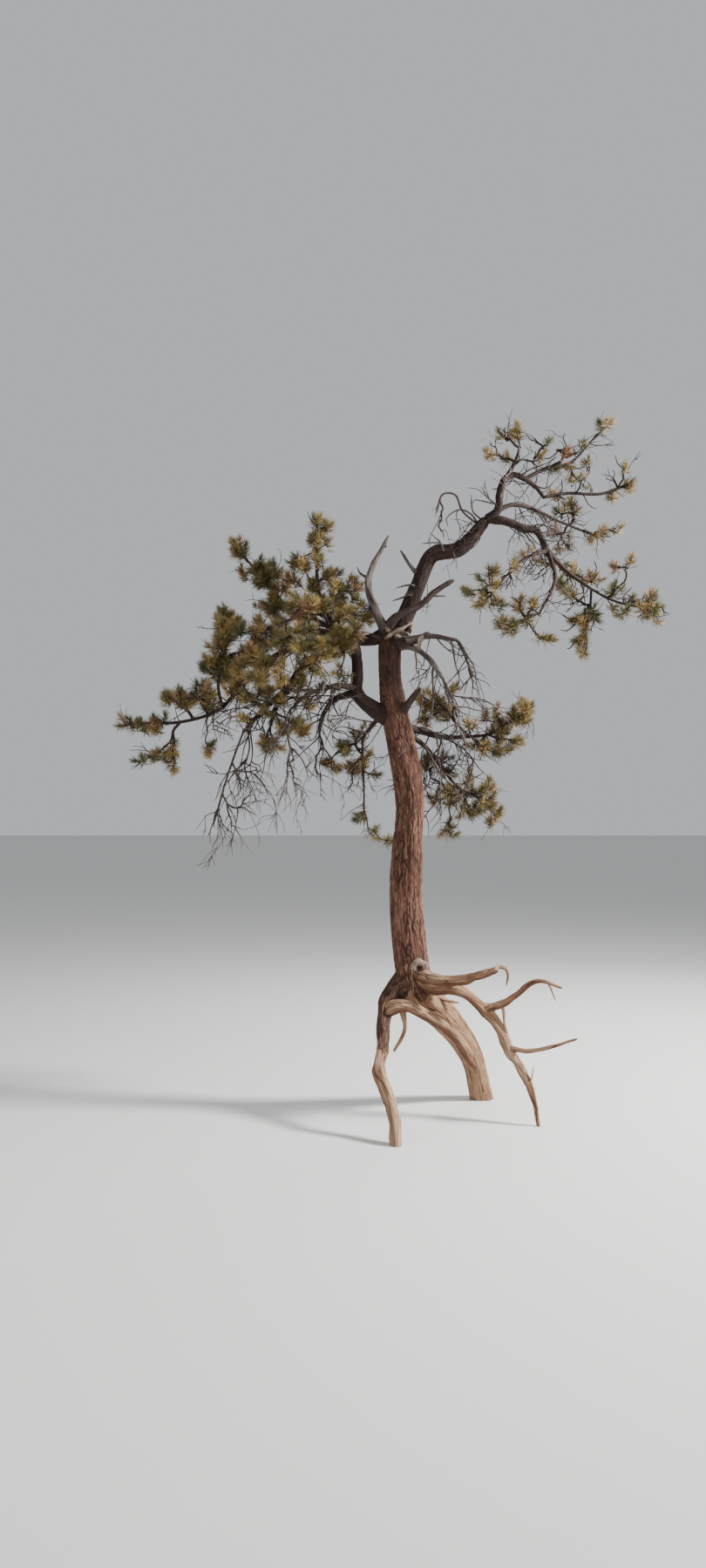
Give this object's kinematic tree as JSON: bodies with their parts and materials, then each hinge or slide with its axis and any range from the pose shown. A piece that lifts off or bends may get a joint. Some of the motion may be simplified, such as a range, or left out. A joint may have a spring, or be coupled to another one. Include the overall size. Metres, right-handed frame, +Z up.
{
  "type": "mountain pine tree",
  "caption": "Weathered mountain pine with a bent leader, sparse needle tufts, dead limbs and bare exposed roots, standing on level ground.",
  "frame": {"origin": "middle of the flat cut under the trunk's foot, on level ground", "axes": "+Z up; +X to the right as the picture shows the tree, from the dense crown towards the leader; +Y away from the camera"},
  "size_m": [4.5754, 1.9035, 5.6831],
  "materials": {
    "bark": "rough plated bark",
    "dead_wood": "weathered silver-grey wood",
    "root_wood": "pale barkless wood with open grain",
    "needles": "olive-green needles in tufts on dark twigs",
    "bare_twigs": "dry grey twigs"
  },
  "bodies": {
    "root": {"trunk": "bark", "leader_lower": "bark", "leader_upper": "bark", "arch_rise": "bark", "arch_top": "bark", "arch_end": "bark", "right_bough": "bark", "right_outer": "bark", "right_inner": "bark", "right_low_left": "bark", "right_stem": "bark", "left_riser": "bark", "left_top": "bark", "left_middle": "bark", "left_pale": "dead_wood", "left_outer": "bark", "left_elbow": "bark", "left_elbow_front": "dead_wood", "mid_left": "dead_wood", "mid_right": "bark", "mid_right_low": "bark", "snag": "dead_wood", "crossing_snag": "dead_wood", "dead_high": "dead_wood", "dead_low": "dead_wood", "trunk_stub": "dead_wood", "leader_stub": "dead_wood", "left_root": "root_wood", "front_root": "root_wood", "right_root": "root_wood", "upper_root": "root_wood", "reaching_root": "root_wood", "side_root": "root_wood", "hanging_root": "root_wood", "left_high": "needles", "left_peak": "needles", "left_back": "needles", "left_brow": "needles", "left_far": "needles", "left_centre": "needles", "left_low": "needles", "mid_left_mass": "needles", "mid_right_far": "needles", "mid_right_near": "needles", "mid_right_hanging": "needles", "crown_left": "needles", "crown_middle": "needles", "crown_right": "needles", "right_cluster": "needles", "right_tip": "needles", "right_low_middle": "needles", "right_low_inner": "needles", "right_low_outer": "needles", "right_back": "needles", "bare_inner": "bare_twigs", "bare_front": "bare_twigs", "bare_pale": "bare_twigs", "bare_high": "bare_twigs", "bare_low": "bare_twigs", "bare_loop": "bare_twigs"}
  },
  "joints": []
}
